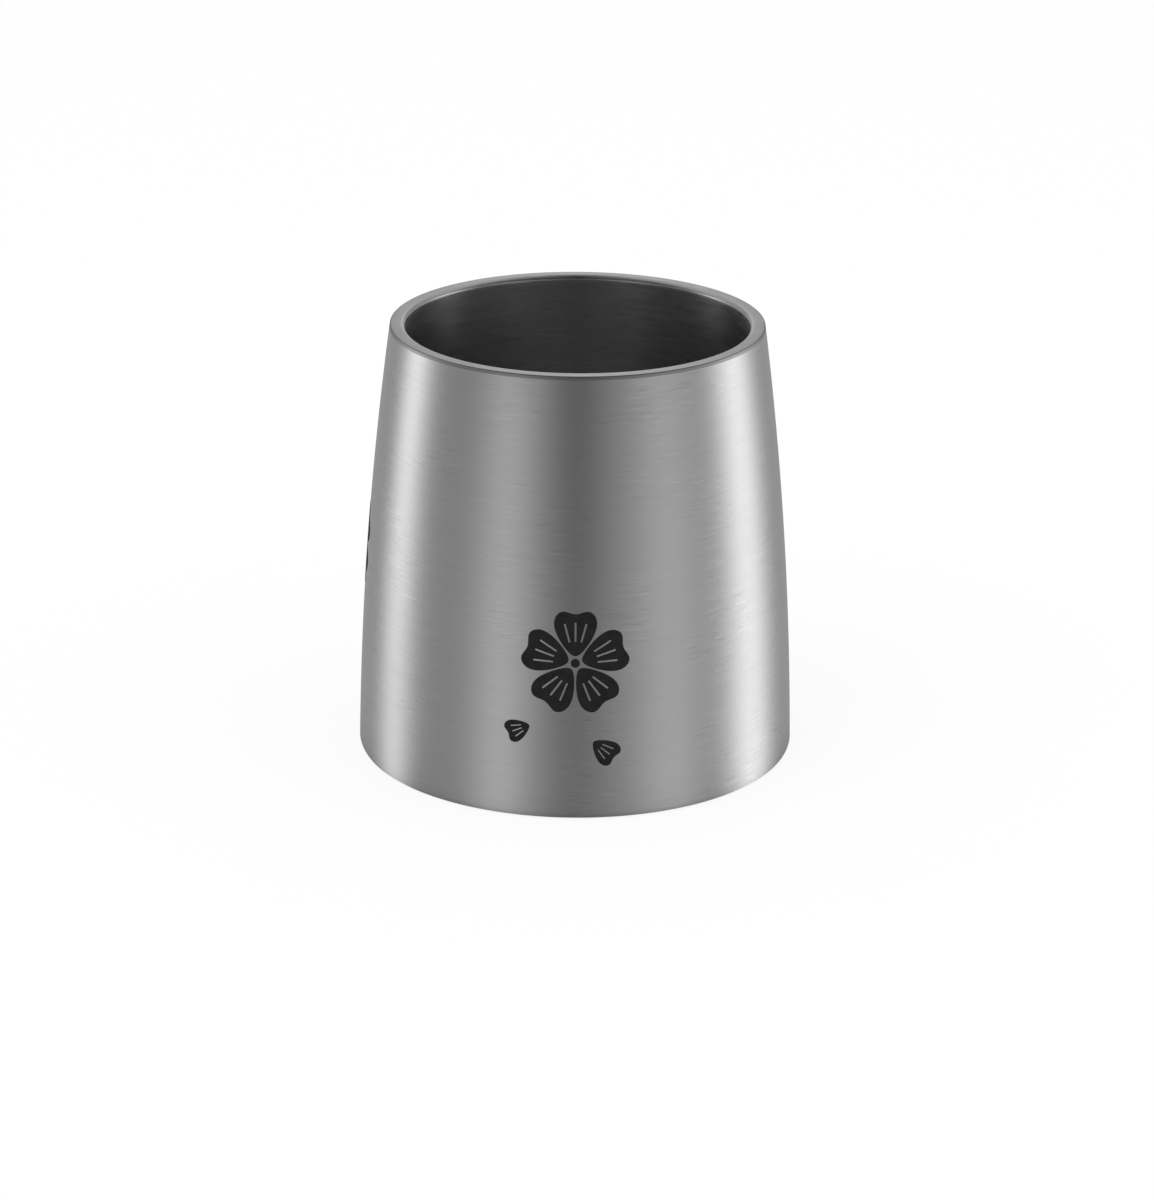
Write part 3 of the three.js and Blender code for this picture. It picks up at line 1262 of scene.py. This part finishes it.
    def card(self, row: TentRow, angle: float) -> tuple[Place, float]:
        """Places one point of the tent.

        Args:
            row: The ring that it lies on.
            angle: Its direction in degrees, from 0 to 360.

        Returns:
            Its place and the level of its light.
        """
        turn = math.radians(angle)
        x, y = row.radius * math.sin(turn), -row.radius * math.cos(turn)
        side = angle if angle <= 180 else angle - 360
        seen = math.copysign(self.mirrored(max(row.radius, self.wall_low), abs(side)), side)
        back = ease(abs(side), self.side_end, self.back_start)
        over = row.upper_side + (row.upper_back - row.upper_side) * back
        plain = self.glow(seen, row.radius / self.tent_radius) * (1 - row.shade)
        return (x, y, row.height), plain * (1 - over) + self.overhead(x, y, row) * over

    def build(self) -> None:
        """Makes the stage and its lights."""
        self._floor()
        self._tent()
        self._world()
        for lamp in self.lamps:
            lamp.build()
        LOG.info("studio: tent with %d soft boxes", len(self.boxes))

    @staticmethod
    def _seen(wire: Wiring) -> Number:
        """Gives 1 for camera, glossy and transmission rays, and 0 for the rest."""
        rays = wire.add("ShaderNodeLightPath").outputs
        kinds = [Number(wire, rays[f"Is {kind} Ray"]) for kind in ("Camera", "Glossy", "Transmission")]
        return wire.math("MAXIMUM", wire.math("MAXIMUM", kinds[0], kinds[1]), kinds[2])

    def _floor(self) -> None:
        """Makes the floor, white where it is seen and still with the cup's soft shadow."""
        mesh = bpy.data.meshes.new("floor")
        half = self.floor_half
        corners = [(-half, -half, 0), (half, -half, 0), (half, half, 0), (-half, half, 0)]
        mesh.from_pydata(corners, [], [(0, 1, 2, 3)])
        floor = put("floor", mesh)
        material, wire, shader = new_material("pale_floor")
        looks = {"Base Color": self.floor_color, "Roughness": self.floor_roughness, "Specular IOR Level": 0.0}
        wire.give(shader, looks)
        white = wire.add("ShaderNodeEmission", {"Strength": 1.0}).outputs[0]
        top = wire.mix(self._seen(wire) * self.floor_white, shader.outputs[0], white)
        below = Number(wire, wire.add("ShaderNodeNewGeometry").outputs["Backfacing"])
        clear = wire.add("ShaderNodeBsdfTransparent").outputs[0]
        wire.surface(wire.mix(below, top, clear))
        mesh.materials.append(material)

    def _tent(self) -> None:
        """Makes the cards round the cup: a mat, a wall and a dark ceiling, seen by reflections alone."""
        rows = self.rows()
        n = self.tent_columns
        angles = spread(0, 360, n)[:-1]
        cards = [self.card(row, angle) for row in rows for angle in angles]
        faces = [
            (r * n + c, r * n + (c + 1) % n, (r + 1) * n + (c + 1) % n, (r + 1) * n + c)
            for r in range(len(rows) - 1)
            for c in range(n)
        ]
        mesh = bpy.data.meshes.new("light_tent")
        mesh.from_pydata([place for place, _ in cards], [], faces)
        colors = [part for _, level in cards for part in (level, level, level, 1.0)]
        mesh.attributes.new("glow", "FLOAT_COLOR", "POINT").data.foreach_set("color", colors)
        tent = put("light_tent", mesh)
        material, wire, _ = new_material("tent_cards")
        glow = wire.add("ShaderNodeAttribute", attribute_name="glow").outputs["Color"]
        wire.surface(wire.add("ShaderNodeEmission", {"Color": glow, "Strength": 1.0}).outputs[0])
        mesh.materials.append(material)
        tent.visible_camera = False
        tent.visible_diffuse = False
        tent.visible_shadow = False

    def _world(self) -> None:
        """Makes the surroundings: white where they are seen, and a plain soft light for the rest."""
        world = bpy.data.worlds.new("studio")
        world.use_nodes = True
        wire = Wiring(world.node_tree)
        level = wire.remap(self._seen(wire), UNIT_RANGE, self.world_levels)
        wire.give(world.node_tree.nodes["Background"], {"Color": self.world_color, "Strength": level})
        bpy.context.scene.world = world


@dataclass(frozen=True)
class PhotoCamera:
    """The camera that took the photograph."""

    place: Place = (0.00017, -0.55463, 0.22332)
    elevation: float = 20.053
    roll: float = 0.393
    focal: float = 124.1
    sensor: float = 36.0

    def build(self) -> None:
        """Makes the camera and gives it to the scene."""
        data = bpy.data.cameras.new("photo_camera")
        data.sensor_width = self.sensor
        data.lens = self.focal
        camera = put("photo_camera", data)
        tilt = Matrix.Rotation(math.radians(90 - self.elevation), 4, "X")
        turn = Matrix.Rotation(math.radians(self.roll), 4, "Z")
        camera.matrix_world = Matrix.Translation(self.place) @ tilt @ turn
        bpy.context.scene.camera = camera


def main() -> None:
    """Builds the cup's pieces, the studio and the camera."""
    logging.basicConfig(level=logging.INFO, format="%(name)s %(message)s")
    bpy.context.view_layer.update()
    bpy.context.scene.view_settings.view_transform = "Standard"
    lathe = Lathe(WallRule())
    OuterShell(lathe).build()
    InnerLiner(lathe).build()
    RimWeld(lathe).build()
    Base(lathe).build()
    VacuumParts().build()
    BlossomMarks(lathe.rule).build()
    Studio().build()
    PhotoCamera().build()


if __name__ == "__main__":
    main()
